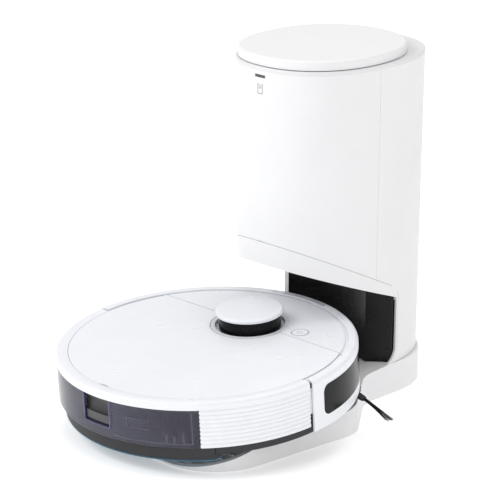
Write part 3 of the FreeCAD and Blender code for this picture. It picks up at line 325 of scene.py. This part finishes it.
# Station's white mouldings: the front cover and rear shell of the column, the lip of the docking
# notch, the frame under the lid, the lid and the base.  All are satin ABS, a shade warmer than
# the robot.
station_white = moulded("station_white", (0.80, 0.80, 0.81), (0.775, 0.775, 0.785), (0.36, 0.48),
                        dust=0.02, spread=6.0, depth=0.00005)
paint_nodes(station_white, "front_cover", "rear_shell", "overhang_trim", "station_lid", "base_tray")
frame_white = moulded("frame_white", (0.74, 0.74, 0.75), (0.70, 0.70, 0.71), (0.42, 0.52),
                      dust=0.04)
paint_nodes(frame_white, "top_frame")


# Dark windows: the turret's ring, the bumper's long window and the panel in the docking notch are
# polished black plastic that lets infrared through, with the finest hairlines of wiping on them.
gloss_black = moulded("gloss_black", (0.004, 0.004, 0.005), (0.008, 0.008, 0.009), (0.07, 0.2),
                      dust=0.0, fineness=60.0, depth=0.00002, spread=9.0, IOR=1.22)
paint_nodes(gloss_black, "bumper_window", "turret_window")
bay_black = moulded("bay_black", (0.005, 0.005, 0.0055), (0.010, 0.010, 0.011), (0.16, 0.3),
                    dust=0.0, fineness=40.0, depth=0.00002, spread=7.0, IOR=1.27)
paint_nodes(bay_black, "bay_panel")


# Strips: three translucent grey segments let into the bumper's rim, and the small dark lens under
# the station's lid with a light behind it, both pressed in from inside.
strip_grey = moulded("strip_grey", (0.42, 0.43, 0.48), (0.47, 0.48, 0.53), (0.25, 0.35), dust=0.0)
strip_inner, strip_outer, strip_low, strip_high = 165.2, 171.5, 75.4, 76.12
strip_radii = np.array([strip_inner, strip_inner + 0.3, strip_outer - 0.3, strip_outer,
                        strip_outer, strip_inner])
strip_heights = np.array([strip_high - 0.12, strip_high, strip_high, strip_high - 0.12,
                          strip_low, strip_low])
segments = []
for start, end in ((-11.5, -5.7), (-5.3, 5.3), (5.7, 11.5)):
    sweep = np.radians(90 + np.linspace(start, end, 24))[:, None]
    segments.append(skinned(on_robot(around(strip_radii, sweep, strip_heights))))
moulding("rim_lenses", segments, "bumper", strip_grey, ["rim_strip"])
lens_grey = moulded("lens_grey", (0.05, 0.05, 0.055), (0.08, 0.08, 0.085), (0.2, 0.3), dust=0.0)
paint_nodes(lens_grey, "status_lens")


# Button print: a thin pad-printed ring and a short upright dash on the start button, in grey ink.
def ribbon(line, normal, width, thick):
    """Flat closed strip along a line of points, with its thickness along normal."""
    forward = np.gradient(line, axis=0)
    forward /= np.linalg.norm(forward, axis=1)[:, None]
    sideways = np.cross(normal, forward)
    sideways /= np.linalg.norm(sideways, axis=1)[:, None]
    corners = [(-0.5, 0), (0.5, 0), (0.5, 1), (-0.5, 1)]
    return np.stack([line + a * width * sideways + b * thick * normal for a, b in corners], 1)


ink_grey = moulded("ink_grey", (0.22, 0.23, 0.25), (0.28, 0.29, 0.31), (0.5, 0.6), dust=0.0)
button_middle = np.array([66.0, 88.0, 75.38])


def level_arc(radius, turn, lift=0.0):
    """Arc about the button's middle, in a column of angles."""
    return np.concatenate([radius * np.cos(turn), radius * np.sin(turn), 0 * turn + lift],
                          1) + button_middle


mark_arc = level_arc(3.2, np.linspace(0.16 * math.pi, 1.84 * math.pi, 48)[:, None] + math.pi / 2)
edge_ring = level_arc(9.9, np.linspace(0, 2 * math.pi, 73)[:, None], -0.02)
mark_dash = button_middle + np.linspace([0, 0.8, 0], [0, 3.8, 0], 4)
top_face = np.array([0.0, 0.0, 1.0])
marks = [skinned(ribbon(line, top_face, width, 0.05))
         for line, width in ((mark_arc, 0.5), (mark_dash, 0.5), (edge_ring, 0.8))]
moulding("button_print", [(on_robot(points), faces) for points, faces in marks],
         "button", ink_grey)


# Bag print: a small outline of a dust bag with a neck, pad-printed in grey on the station's front
# cover below the lens, to show what the column holds.
column_half, column_reach, column_top = 95.0, 119.0, 411.5
column_power, column_middle, column_taper = 2.3, 202.0, 0.034
station_y = robot_foot[1]


def column_share(z):
    """Size of the tapered column's plan at height z, as a share of its plan at the top."""
    return 1 - column_taper * (column_top - z) / column_top


def on_column(points):
    """(x, z) points in mm laid on the column's face, |x/a|^n + |y/b|^n = 1, just proud of it."""
    x, z = points[:, 0], points[:, 1]
    share = column_share(z)
    bulge = (1 - np.abs(x / (share * column_half)) ** column_power) ** (1 / column_power)
    return np.stack([x, column_middle - share * column_reach * bulge, z], -1)


bag_outline = np.array([(-3.6, 392), (-3.6, 380), (3.6, 380), (3.6, 392)], float)
bag_neck = np.array([(-1.5, 391), (-1.5, 386.5), (1.5, 386.5), (1.5, 391)], float)


def densified(corners, per_run=10):
    """Points along the straight runs between corners."""
    share = np.linspace(0, 1, per_run, endpoint=False)[:, None]
    runs = [a + share * (b - a) for a, b in zip(corners[:-1], corners[1:])]
    return np.concatenate(runs + [corners[-1:]])


front_out = np.array([0.0, -1.0, 0.0])
prints = [skinned(ribbon(on_column(densified(line)), front_out, 0.8, 0.06))
          for line in (bag_outline, bag_neck)]
moulding("bag_print", [(points * MM + [0, station_y, 0], faces) for points, faces in prints],
         "dock", ink_grey)


# Seams of the column: the joint round its foot, and the one that follows the lip of the docking
# notch, each a thin grey strip set flush between the two mouldings.  Its grey is painted shadow,
# standing in for the shade inside each joint.
seam_shadow_grey = moulded("seam_shadow_grey", (0.34, 0.34, 0.35), (0.28, 0.28, 0.29), (0.6, 0.7), dust=0.0)


def on_wall(y, z, end):
    """Points of the column's wall at (y, z), on its right for end = 1 and its left for -1."""
    share = column_share(z)
    inside = np.clip(1 - np.abs((y - column_middle) / (share * column_reach)) ** column_power, 0, 1)
    return np.stack([end * share * column_half * inside ** (1 / column_power), y, z], -1)


lip_front, lip_high, lip_slope, lip_gap, lip_band = 83.0, 199.2, 0.495, 0.25, 3.0
lip_y = np.concatenate([np.linspace(83.6, 100, 30), np.linspace(100, 212.5, 60)[1:]])
lip_z = lip_high + lip_gap - lip_slope * (lip_y - lip_front) + lip_band
lip_line = np.concatenate([on_wall(lip_y, lip_z, -1)[::-1], on_wall(lip_y, lip_z, 1)[1:]])
foot_y = column_middle + 115.1 * np.sin(np.linspace(math.radians(10), math.radians(90), 60))
foot_z = np.full(60, 38.6)
foot_line = np.concatenate([on_wall(foot_y, foot_z, -1), on_wall(foot_y, foot_z, 1)[::-1]])
seam_shadows = []
for line, height in ((lip_line, 0.55), (foot_line, 0.5)):
    outward = line - np.array([0, column_middle, 0])
    outward[:, 2] = 0
    outward /= np.linalg.norm(outward, axis=1)[:, None]
    rings = [line + out * outward + np.array([0, 0, lift]) for out, lift in
             ((-0.8, -height / 2), (0.1, -height / 2), (0.1, height / 2), (-0.8, height / 2))]
    seam_shadows.append(skinned(np.stack(rings, 1) * MM + [0, station_y, 0]))
moulding("column_seam_shadows", seam_shadows, "dock", seam_shadow_grey)


# Water tank: a tub of smoked clear plastic whose wall shows the float, the pump well and the ribs
# of its cap.  The wall is tinted in the mass, so it takes a violet grey and keeps a clean gloss.
smoke = moulded("smoke", (0.075, 0.072, 0.105), (0.11, 0.11, 0.15), (0.05, 0.12), dust=0.0,
                fineness=30.0, depth=0.00003, IOR=1.45)
smoke_tree = smoke.node_tree
smoke_surface = smoke_tree.nodes["Principled BSDF"]
edge_on = put(smoke_tree, "ShaderNodeLayerWeight", {"Blend": 0.35}).outputs["Facing"]
smoke_tree.links.new(scaled_ramp(smoke_tree, edge_on, 0.0, 1.0, 0.34, 0.9),
                     smoke_surface.inputs["Alpha"])
paint_nodes(smoke, "tank_shell")
tank_parts = moulded("tank_parts", (0.045, 0.044, 0.06), (0.08, 0.08, 0.10), (0.35, 0.5), dust=0.0)
paint_nodes(tank_parts, "tank_inner")


# Tank fittings: the weld bead that joins the tub to its cap, the frame moulded round the latch,
# the float's cage and three posts under the filler, in paler plastic than the tub, seen through
# its wall.
bead_grey = moulded("bead_grey", (0.30, 0.29, 0.37), (0.24, 0.23, 0.31), (0.2, 0.35), dust=0.0)


def wall_bar(radius, depth, start, end, low, high, steps=16):
    """Bar against the tub's wall: an upright rectangle swept between two angles in degrees."""
    sweep = np.radians(np.linspace(start, end, steps))[:, None]
    section = np.array([radius, radius - depth, radius - depth, radius])
    return skinned(on_robot(around(section, sweep, np.array([low, low, high, high]))))


bead_bars = ((171.6, 1.0, -131.0, -97.6, 24.4, 25.5, 40),
             (171.6, 1.0, -82.4, -49.6, 24.4, 25.5, 40),
             (171.6, 1.0, -50.4, -49.8, 25.5, 62.0), (171.6, 1.0, -130.6, -130.0, 25.5, 62.0))
float_bars = ((170.8, 1.2, -76.5, -66.5, 49.6, 50.6), (170.8, 1.2, -76.5, -76.0, 40.0, 49.6),
              (170.8, 1.2, -74.8, -68.0, 46.6, 47.2), (170.8, 1.2, -74.8, -66.5, 38.6, 39.2))
bars = [wall_bar(*bar) for bar in bead_bars + float_bars]
bars += [wall_bar(170.4, 3.0, angle, angle + 0.8, 26.0, top)
         for angle, top in ((-60.5, 36), (-57.5, 33), (-54.0, 38))]
moulding("tank_fittings", bars, "tank", bead_grey)
frame_violet = moulded("frame_violet", (0.06, 0.055, 0.16), (0.09, 0.085, 0.2), (0.15, 0.25),
                       dust=0.0)
frame_bars = [wall_bar(174.35, 1.2, start, end, 32.6, top) for start, end, top in
              ((-97.2, -96.6, 66.3), (-83.4, -82.8, 66.3), (-96.6, -83.4, 33.6))]
moulding("latch_frame", frame_bars, "tank", frame_violet)


# Tank latch: a lever in its recess, with a finger scoop above and a grip bar across its foot.
# The lever is painted near black, darker than its own dark grey on the grip, as painted shade of
# the deep scoop and recess.
latch_grey = moulded("latch_grey", (0.004, 0.004, 0.005), (0.008, 0.008, 0.009), (0.25, 0.4),
                     dust=0.0)
grip_grey = moulded("grip_grey", (0.045, 0.045, 0.05), (0.06, 0.06, 0.065), (0.35, 0.45),
                    dust=0.0)
lever_height = np.array([35.2, 36.0, 44.0, 45.5, 47.5, 54.0, 61.0, 63.5, 65.0, 65.0, 35.2])
lever_out = np.array([170.9, 171.5, 171.5, 171.1, 169.6, 169.0, 169.5, 170.9, 171.2, 168.4,
                      168.4])
lever_sweep = np.radians(np.linspace(-96.6, -83.4, 25))[:, None]
moulding("latch_lever", [skinned(on_robot(around(lever_out, lever_sweep, lever_height)))],
         "latch", latch_grey, ["tank_latch"])
moulding("latch_grip", [wall_bar(172.1, 1.0, -96.2, -83.8, 36.6, 46.4)],
         "latch", grip_grey)


# Chassis, mop plate, brush frame, forks, arms, fans and battery: dark mouldings with a coarser
# grain, scuffed lighter in patches, with a little dust on what faces up.
charcoal = moulded("charcoal", (0.010, 0.010, 0.012), (0.018, 0.018, 0.021), (0.45, 0.62), dust=0.1,
                   fineness=500.0, depth=0.0001)
paint_nodes(charcoal, "chassis_pan", "mop_plate", "brush_cover", "caster_fork", "wheel_arm_l",
            "wheel_arm_r", "lidar_rotor", "station_fan", "suction_fan", "battery", "base_plate")


# Mop pad: microfibre on a hook-and-loop backing under the mop plate, with a bound edge.  The pile
# is knitted in fine rows across the robot, and swells a little between the rim and the middle.
def weave_group():
    """Rows and columns of loops: two bands of waves at right angles, multiplied."""
    tree, given, result = effect("loop_pile", {"Vector": None, "Pitch": 800.0}, "Height")
    wave = {"Vector": given["Vector"], "Scale": given["Pitch"], "Distortion": 1.5, "Detail": 1.0}
    rows = [put(tree, "ShaderNodeTexWave", wave, bands_direction=way).outputs["Fac"]
            for way in ("X", "Y")]
    crossed = put(tree, "ShaderNodeMath", {0: rows[0], 1: rows[1]}, operation="MULTIPLY")
    tree.links.new(crossed.outputs[0], result["Height"])
    return tree


loop_pile = weave_group()


def cloth(name, color, shade, pitch, depth, sheen):
    """Fabric: the pile's height shades the colour between its loops and lifts the surface."""
    paint = bpy.data.materials.new(name)
    paint.use_nodes = True
    tree = paint.node_tree
    surface = tree.nodes["Principled BSDF"]
    place = put(tree, "ShaderNodeTexCoord").outputs["Object"]
    loops = group(tree, loop_pile, {"Vector": place, "Pitch": pitch})
    cloudy = group(tree, handling, {"Vector": place, "Spread": 30.0})
    worn = blended(tree, cloudy, color, tuple(0.85 * c for c in color))
    tree.links.new(blended(tree, loops, shade, worn), surface.inputs["Base Color"])
    tree.links.new(scaled_ramp(tree, loops, 0.0, 1.0, 0.95, 0.8), surface.inputs["Roughness"])
    bump = put(tree, "ShaderNodeBump", {"Strength": 0.8, "Distance": depth, "Height": loops})
    tree.links.new(bump.outputs["Normal"], surface.inputs["Normal"])
    surface.inputs["Sheen Weight"].default_value = sheen
    surface.inputs["Sheen Roughness"].default_value = 0.5
    return paint


def softened(corners, passes):
    """Closed outline with its corners cut back, each pass by a fifth of the runs beside them."""
    for _ in range(passes):
        following = np.roll(corners, -1, axis=0)
        corners = np.stack([0.8 * corners + 0.2 * following,
                            0.2 * corners + 0.8 * following], 1).reshape(-1, 2)
    return corners


def outline_slab(outline, levels, fills=12):
    """Closed form over an outline: (inset, height) rings, and shrinking ones over both ends."""
    step = np.roll(outline, -1, axis=0) - np.roll(outline, 1, axis=0)
    inward = np.stack([-step[:, 1], step[:, 0]], -1)
    inward /= np.linalg.norm(inward, axis=1)[:, None]
    middle = outline.mean(axis=0)
    if ((middle - outline) * inward).sum() < 0:
        inward = -inward
    rings = [np.concatenate([outline + inset * inward, np.full((len(outline), 1), z)], 1)
             for inset, z in levels]
    shares = 1 - np.linspace(0, 1, fills + 1)[1:-1]
    centre = np.append(middle, 0)
    flat = np.array([1, 1, 0])
    low = [centre * flat + (rings[0] - centre * flat) * [s, s, 1] for s in shares[::-1]]
    high = [centre * flat + (rings[-1] - centre * flat) * [s, s, 1] for s in shares]
    return np.stack(low + rings + high)


mop_radius, mop_half, pad_low, pad_high = 167.3, 124.2, 2.1, 4.55
rear_turn = math.acos(mop_half / mop_radius)
rear = np.linspace(-rear_turn, -math.pi + rear_turn, 90)
mop_corners = np.array([(-mop_half, -111.9), (-mop_half, -104.0), (-115.3, -77.2),
                        (115.3, -77.2), (mop_half, -104.0), (mop_half, -111.9)])
mop_rear = np.stack([mop_radius * np.cos(rear), mop_radius * np.sin(rear)], -1)
mop_plan = np.concatenate([mop_rear, densified(mop_corners, 12)[1:-1]])
pad_levels = [(3.2, pad_low + 0.35), (1.6, pad_low), (0.5, pad_low + 0.5),
              (0.0, 0.5 * (pad_low + pad_high)), (0.4, pad_high - 0.35),
              (1.4, pad_high - 0.05), (3.0, pad_high)]
mop_blue = cloth("mop_blue", (0.07, 0.27, 0.40), (0.02, 0.10, 0.17), 520.0, 0.0005, 0.4)
mop_rings = outline_slab(softened(mop_plan, 1), pad_levels)
mop_pad = moulding("mop_cloth", [skinned(on_robot(mop_rings))], "mop", mop_blue,
                   ["mop_pad"], crease=80)


# Side brushes: each rubber hub carries two tufts of black nylon, crimped into its arms.  The
# strands fan out a little and sag towards the floor, with uneven ends.
rubber_dark = moulded("rubber_dark", (0.012, 0.012, 0.013), (0.025, 0.025, 0.027), (0.6, 0.8),
                      dust=0.15, fineness=350.0, depth=0.00012)
paint_nodes(rubber_dark, "side_brush_l", "side_brush_r", "base_feet", "port_seal", "caster_wheel")
bristle_black = moulded("bristle_black", (0.006, 0.006, 0.007), (0.012, 0.012, 0.013),
                        (0.3, 0.45), dust=0.0)
arm_end = 31.0
brush_hub = [116.0, 116.0, 0]
draw = np.random.default_rng(41)


def tuft(angle, count=54, steps=9):
    """Strands from the arm's end towards the floor, spreading sideways and sagging."""
    t = np.linspace(0, 1, steps)[None, :]
    root_side = draw.uniform(-2.0, 2.0, (count, 1))
    tip_side = root_side * 2.2 + draw.normal(0, 1.0, (count, 1))
    tip = draw.uniform(87.0, 92.6, (count, 1))
    root_z = draw.uniform(6.6, 8.4, (count, 1))
    tip_z = draw.uniform(1.9, 2.9, (count, 1))
    out = arm_end + t * (tip - arm_end)
    aside = root_side + (tip_side - root_side) * t ** 1.5
    height = root_z + (tip_z - root_z) * t ** 1.4
    line = np.stack([out, aside, height], -1)
    corner = np.linspace(0, 2 * math.pi, 3, endpoint=False)
    thick = (0.34 * (1 - 0.55 * t))[..., None]
    ring = np.stack([np.zeros(3), np.cos(corner), np.sin(corner)], -1)
    strands = line[:, :, None, :] + thick[..., None] * ring
    c, s = math.cos(angle), math.sin(angle)
    return strands @ np.array([[c, s, 0], [-s, c, 0], [0, 0, 1]])


for end, letter in ((1, "r"), (-1, "l")):
    shapes = []
    for angle in (math.radians(-17.0), math.radians(163.0)):
        for strand in tuft(angle):
            shapes.append(skinned(on_robot((strand + brush_hub) * [end, 1, 1])))
    moulding("side_tufts_" + letter, shapes, "brush_" + letter, bristle_black,
             ["side_bristles_" + letter])


# Main brush: a rubber roller with six fins that wind towards its middle, so that they sweep dirt
# to the port, on a steel-cored spindle that runs in the brush frame.
roller_y, roller_z = -45.0, 21.0
roller_reach, roller_core, roller_half, fin_count, fin_lead = 17.3, 11.3, 84.0, 6, 0.9
x_steps = np.linspace(-roller_half, roller_half, 57)
spindle_x = np.array([-88, -84, -84, -83, 83, 84, 84, 88], float)
spindle_r = np.array([3, 3, 10.6, 11.4, 11.4, 10.6, 3, 3], float)
circle = np.linspace(0, 2 * math.pi, 48, endpoint=False)
rings = np.stack([np.broadcast_to(spindle_x[:, None], (8, 48)),
                  roller_y + spindle_r[:, None] * np.cos(circle),
                  roller_z + spindle_r[:, None] * np.sin(circle)], -1)
shapes = [skinned(rings)]
fin_profile = [(roller_core - 0.6, -0.13), (roller_reach - 0.4, -0.055), (roller_reach, 0.0),
               (roller_reach - 0.4, 0.055), (roller_core - 0.6, 0.13)]
for fin in range(fin_count):
    lead = fin * math.pi / 3 + fin_lead * np.abs(x_steps) / roller_half
    rings = np.stack([np.stack([x_steps, roller_y + r * np.cos(lead + a),
                                roller_z + r * np.sin(lead + a)], -1)
                      for r, a in fin_profile], 1)
    shapes.append(skinned(rings))
moulding("brush_roller", [(on_robot(points), faces) for points, faces in shapes],
         "roller", rubber_dark, ["main_brush"])


# Drive wheels: a rubber tyre with chevron lugs moulded over a ribbed plastic hub, pressed on the
# axle of the swing arm.  The outer face is dished, with the hub's six spokes in it.
wheel_x, wheel_y, wheel_z = 118.0, -5.0, 30.3
wheel_turns, lug_count, spoke_count = 144, 24, 6


def wheel_surface(end):
    """Closed profile turned about the axle; the tread's radius falls in waves between the lugs."""
    angle = np.linspace(0, 2 * math.pi, wheel_turns, endpoint=False)[None, :]
    profile = [(-9.0, 3.2), (-9.0, 20.0), (-9.0, 28.2), (-8.6, 29.2), (-7.8, 29.9), (-5, 29.95),
               (-2.5, 29.95), (0, 29.95), (2.5, 29.95), (5, 29.95), (7.8, 29.9), (8.6, 29.2),
               (9.0, 28.2), (9.0, 22.4), (8.6, 22.0), (6.2, 21.8), (6.0, 21.4), (6.0, 10.0),
               (6.4, 6.0), (6.4, 0.4), (1.9, 0.4), (1.9, 3.2)]
    x = np.array([p[0] for p in profile])[:, None]
    r = np.array([p[1] for p in profile])[:, None]
    tread = np.clip((r - 29.0) / 0.9, 0, 1)
    wave = np.clip(2.2 * np.cos(lug_count * (angle + 0.018 * np.abs(x))), -1, 1)
    spoke = np.clip((r - 8) / 3, 0, 1) * np.clip((21.6 - r) / 2, 0, 1) * (x > 5)
    lifted = x + 1.4 * spoke * np.clip(4 * np.cos(spoke_count * angle) - 2.4, 0, 1)
    radius = r - tread * 1.3 * (0.5 - 0.5 * wave)
    rings = np.stack([wheel_x + lifted + 0 * angle, wheel_y + radius * np.cos(angle),
                      wheel_z + radius * np.sin(angle)], -1)
    return skinned(rings * [end, 1, 1], ends=False, round_rows=True)


for end, letter in ((1, "r"), (-1, "l")):
    points, faces = wheel_surface(end)
    moulding("tyre_" + letter, [(on_robot(points), faces)], "wheel_" + letter,
             rubber_dark, ["drive_wheel_" + letter])


# Ramp mat: ribbed grey inserts glued into the ramp, one across its tip and a pad under each
# wheel.
mat_grey = moulded("mat_grey", (0.42, 0.43, 0.43), (0.36, 0.37, 0.37), (0.55, 0.7), dust=0.12,
                   fineness=600.0, depth=0.00008)
paint_nodes(mat_grey, "ramp_mat")


# Inner mouldings: the dust bin and its bail, the bag chamber, the duct, the exhaust grille and
# the mains inlet, all in plain mid-grey polypropylene.
inner_grey = moulded("inner_grey", (0.10, 0.105, 0.115), (0.13, 0.135, 0.145), (0.4, 0.55),
                     dust=0.1)
paint_nodes(inner_grey, "bag_chamber", "dust_duct", "dust_bin", "bin_handle", "mains_inlet")
grille_grey = moulded("grille_grey", (0.30, 0.305, 0.315), (0.26, 0.265, 0.275), (0.45, 0.55),
                      dust=0.05)
paint_nodes(grille_grey, "exhaust_grille")


# Dust bag: folded filter cloth that fills its chamber, with pleated sides and a crown that sags
# in the middle, welded to a collar of pressed card which slides onto the riser.
bag_low, bag_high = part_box("dust_bag")
bag_centre = np.array((bag_low + bag_high) / 2)
bag_size = np.array((bag_high - bag_low) / 2)
height = np.linspace(-1, 1, 72)[:, None]
turn = np.linspace(0, 2 * math.pi, 180, endpoint=False)[None, :]
body_share = (1 - np.abs(height) ** 9) ** (1 / 3.0)
folds = 0.5 - 0.5 * np.cos(9 * math.pi * (height + 1))
creases = 0.5 + 0.5 * np.cos(16 * turn + 3 * height)
pleats = 1 - 0.035 * folds - 0.02 * creases
squareness = 2 / 2.4
plan_x = np.sign(np.cos(turn)) * np.abs(np.cos(turn)) ** squareness
plan_y = np.sign(np.sin(turn)) * np.abs(np.sin(turn)) ** squareness
sag = 1 - 0.06 * np.clip(height, 0, 1) ** 3 * (1 + np.cos(3 * turn + 1.0)) / 2
rings = np.stack([bag_centre[0] + bag_size[0] * plan_x * body_share * pleats,
                  bag_centre[1] + bag_size[1] * plan_y * body_share * pleats,
                  bag_centre[2] + bag_size[2] * height * sag + 0 * turn], -1)
bag_cloth = cloth("bag_cloth", (0.80, 0.80, 0.77), (0.62, 0.62, 0.59), 1500.0, 0.0002, 0.15)
filter_bag = moulding("filter_bag", [skinned(rings[1:-1])], "dock", bag_cloth,
                      ["dust_bag"], crease=80)
card = moulded("card", (0.47, 0.34, 0.20), (0.40, 0.28, 0.16), (0.8, 0.95), dust=0.0,
               fineness=260.0, depth=0.0002)
paint_nodes(card, "bag_collar")


# Charging contacts, the robot's pads and the hinge pins: nickel-plated steel, finely brushed.
contact_metal = moulded("contact_metal", (0.60, 0.58, 0.52), (0.50, 0.48, 0.43), (0.22, 0.4),
                        dust=0.0, fineness=1500.0, depth=0.00003, Metallic=1.0)
paint_nodes(contact_metal, "charge_contact_l", "charge_contact_r", "robot_contacts",
            "cover_pins", "lid_pins")


# Circuit boards: green solder mask over copper runs.
board_green = moulded("board_green", (0.01, 0.075, 0.035), (0.02, 0.12, 0.055), (0.25, 0.4),
                      dust=0.0, fineness=200.0, depth=0.0001, spread=160.0)
paint_nodes(board_green, "main_board", "power_board")
